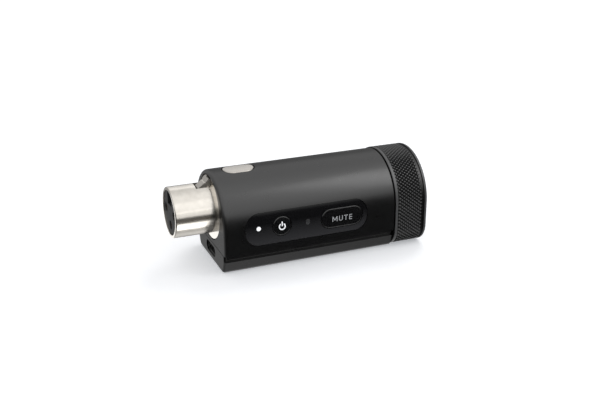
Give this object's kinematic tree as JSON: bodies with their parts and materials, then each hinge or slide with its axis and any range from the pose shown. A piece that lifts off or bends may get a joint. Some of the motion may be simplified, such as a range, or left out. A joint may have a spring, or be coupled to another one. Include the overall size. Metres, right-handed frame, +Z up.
{
  "type": "plug-on wireless microphone transmitter",
  "caption": "Arched black body with a latching female XLR barrel, top release button, side power and mute buttons, tapered base with USB-C socket and a knurled pull-off rear cap.",
  "frame": {"origin": "middle of the length and width, at the height of the knurled cap's underside", "axes": "+X from the XLR barrel to the knurled cap, +Z up, the side panel faces -Y"},
  "size_m": [0.0804, 0.0298, 0.0293],
  "materials": {
    "satin_black": "satin black anodised coat",
    "knurl_black": "black coat over a fine diamond knurl",
    "strip_black": "matte",
    "collar_black": "matte moulding",
    "nickel": "warm polished nickel plate",
    "nickel_satin": "satin nickel plate",
    "carrier_black": "moulded, fine grain",
    "gold": "gold plate",
    "steel": "plain",
    "board_green": "solder mask",
    "panel_gloss": "gloss black",
    "button_gloss": "gloss black",
    "mark_white": "printed white",
    "mark_grey": "printed light grey",
    "plunger_brown": "matte",
    "light_white": "diffusing",
    "light_grey": "smoked",
    "switch_steel": "plain",
    "tin": "tinned",
    "chip_black": "matte",
    "copper": "bare",
    "flex_amber": "film",
    "cell_wrap": "shrink wrap",
    "cradle_grey": "moulded",
    "seal_rubber": "matte",
    "screw_black": "black oxide"
  },
  "bodies": {
    "main_body": {"housing": "satin_black", "base_cover": "satin_black", "near_strip": "strip_black", "far_strip": "strip_black", "rear_collar": "collar_black", "xlr_shell": "nickel", "xlr_insert": "carrier_black", "xlr_contacts": "gold", "shell_clip": "steel", "contact_board": "board_green", "latch_pin": "steel", "latch_bracket": "carrier_black", "latch_spring": "steel", "control_panel": "panel_gloss", "status_lens": "light_white", "mute_lens": "light_grey", "main_board": "board_green", "power_switch": "switch_steel", "mute_switch": "switch_steel", "board_leds": "light_white", "rf_shield": "tin", "board_chips": "chip_black", "antenna": "copper", "usb_shell": "steel", "usb_tongue": "carrier_black", "usb_board": "board_green", "audio_flex": "flex_amber", "charge_flex": "flex_amber", "battery": "cell_wrap", "battery_cradle": "cradle_grey", "front_contact": "gold", "retaining_ring": "steel", "base_screws": "screw_black", "board_screws": "steel"},
    "latch": {"latch_lever": "nickel_satin"},
    "release": {"release_button": "nickel_satin"},
    "power_key": {"power_button": "button_gloss", "power_symbol": "mark_white", "power_plunger": "plunger_brown"},
    "mute_key": {"mute_button": "button_gloss", "mute_lettering": "mark_grey", "mute_plunger": "plunger_brown"},
    "cap": {"knurled_cap": "knurl_black", "end_plug": "satin_black", "end_seal": "seal_rubber", "end_contact": "steel"}
  },
  "joints": [
    {"name": "release_press", "type": "slide", "parent": "main_body", "child": "release", "axis": [0, 0, -1], "range_m": [0, 0.0008], "stiffness_N_per_m": 2500},
    {"name": "latch_hinge", "type": "hinge", "parent": "main_body", "child": "latch", "pos_m": [-0.00795, 0, 0.02574], "axis": [0, -1, 0], "range_deg": [0, 4.56], "deforming": ["latch_spring"]},
    {"name": "power_press", "type": "slide", "parent": "main_body", "child": "power_key", "axis": [0, 1, 0], "range_m": [0, 0.00035], "stiffness_N_per_m": 3000},
    {"name": "mute_press", "type": "slide", "parent": "main_body", "child": "mute_key", "axis": [0, 1, 0], "range_m": [0, 0.00035], "stiffness_N_per_m": 3000},
    {"name": "cap_pull", "type": "slide", "parent": "main_body", "child": "cap", "axis": [1, 0, 0], "range_m": [0, 0.007]}
  ],
  "couplings": [
    {"joint": "latch_hinge", "follows": "release_press", "rad_per_m": 99.01}
  ]
}
